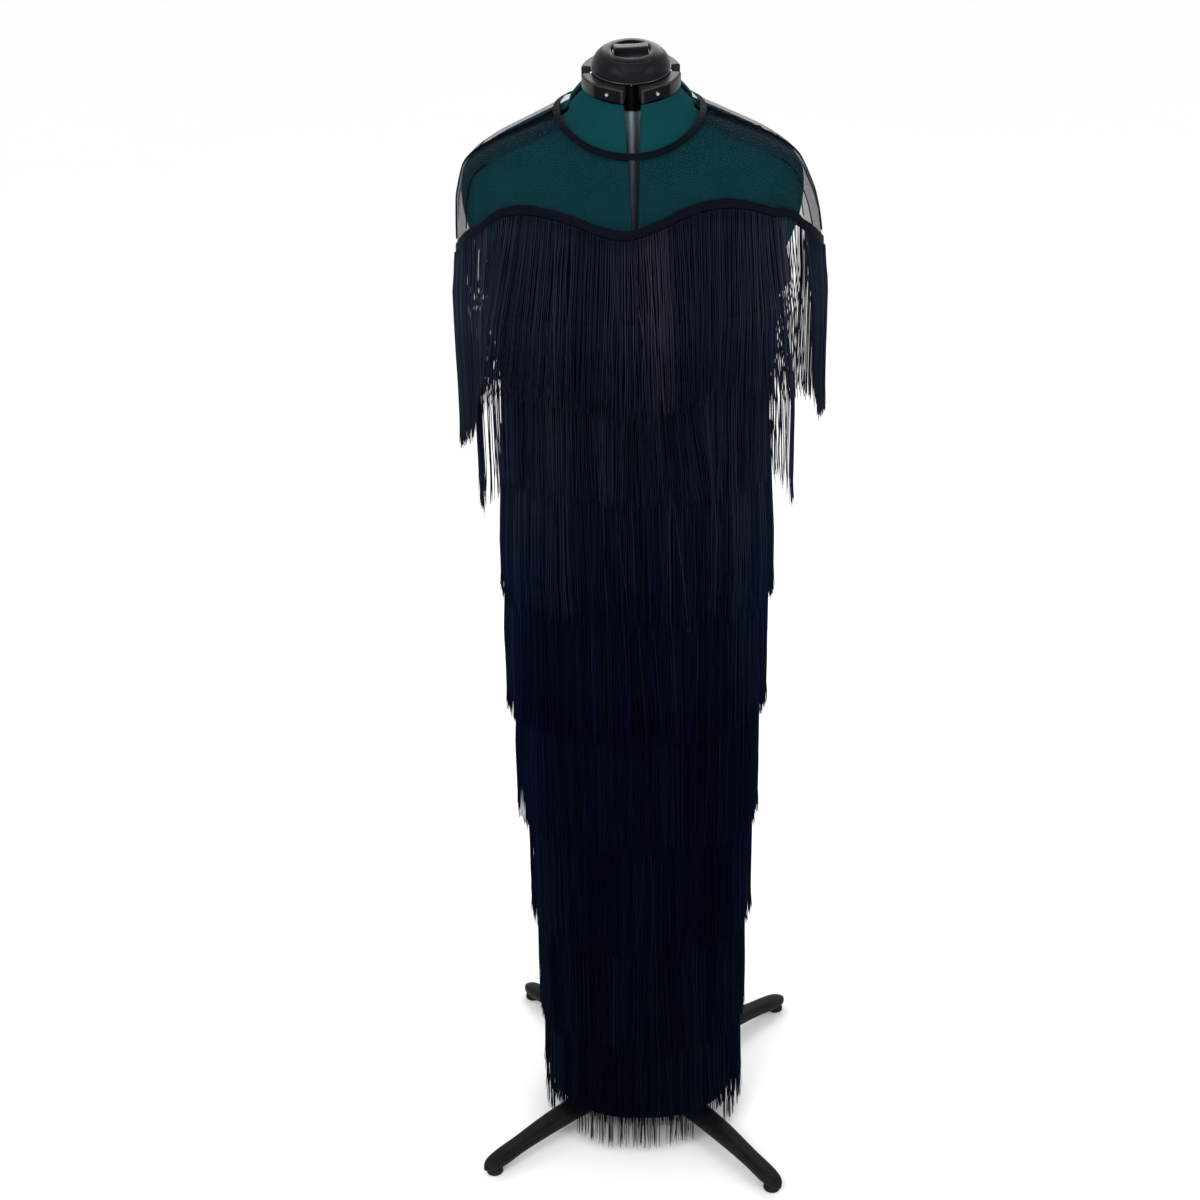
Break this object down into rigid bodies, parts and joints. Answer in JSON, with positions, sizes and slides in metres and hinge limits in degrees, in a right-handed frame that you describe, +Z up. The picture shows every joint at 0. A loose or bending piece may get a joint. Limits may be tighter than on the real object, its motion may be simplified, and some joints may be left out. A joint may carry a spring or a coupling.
{
  "type": "fringe dress on an adjustable dress form",
  "caption": "Floor-length tiered fringe dress with a sheer yoke and cap sleeves, worn by a limbless adjustable dress form on a four-legged stand.",
  "frame": {"origin": "on the floor, on the pole's axis, at the middle of the four feet", "axes": "+Z up along the pole, the front of the dress faces -Y, +X is the viewer's right"},
  "size_m": [0.4808, 0.4808, 1.5415],
  "materials": {
    "sheer_mesh": "sheer black power mesh",
    "black_trim": "ribbed black binding",
    "black_cloth": "matte black knit",
    "black_fringe": "soft sheen of rayon strands",
    "green_cover": "fine knit cover over a shell",
    "neck_plastic": "semi-gloss moulded black",
    "stand_plastic": "satin black",
    "foot_rubber": "matte black",
    "pole_steel": "polished zinc-grey"
  },
  "bodies": {
    "stand": {"hub": "stand_plastic", "leg_1": "stand_plastic", "leg_2": "stand_plastic", "leg_3": "stand_plastic", "leg_4": "stand_plastic", "foot_1": "foot_rubber", "foot_2": "foot_rubber", "foot_3": "foot_rubber", "foot_4": "foot_rubber", "pole_outer": "stand_plastic", "pole_collar": "stand_plastic"},
    "form": {"pole_inner": "pole_steel", "waist_bracket": "stand_plastic", "neck_socket": "neck_plastic", "neck_cap": "neck_plastic", "neck_clip_front_left": "neck_plastic", "neck_clip_front_right": "neck_plastic", "neck_clip_back_left": "neck_plastic", "neck_clip_back_right": "neck_plastic", "form_front_left": "green_cover", "form_front_right": "green_cover", "form_back_left": "green_cover", "form_back_right": "green_cover", "yoke_and_sleeve_front": "sheer_mesh", "yoke_and_sleeve_back": "sheer_mesh", "neck_binding": "black_trim", "yoke_band_front": "black_trim", "yoke_band_back": "black_trim", "body_front": "black_cloth", "body_back": "black_cloth", "fringe_row_1_front": "black_fringe", "fringe_row_1_back": "black_fringe", "fringe_row_2": "black_fringe", "fringe_row_3": "black_fringe", "fringe_row_4": "black_fringe", "fringe_row_5": "black_fringe", "fringe_row_6": "black_fringe", "fringe_row_7": "black_fringe", "fringe_row_8": "black_fringe"},
    "dial": {"dial": "neck_plastic"}
  },
  "joints": [
    {"name": "height_slide", "type": "slide", "parent": "stand", "child": "form", "axis": [0, 0, 1], "range_m": [0, 0.2]},
    {"name": "neck_dial_turn", "type": "hinge", "parent": "form", "child": "dial", "pos_m": [0, -0.01169, 1.53275], "axis": [0, -0.2924, 0.9563], "range_deg": [-90, 90]}
  ]
}
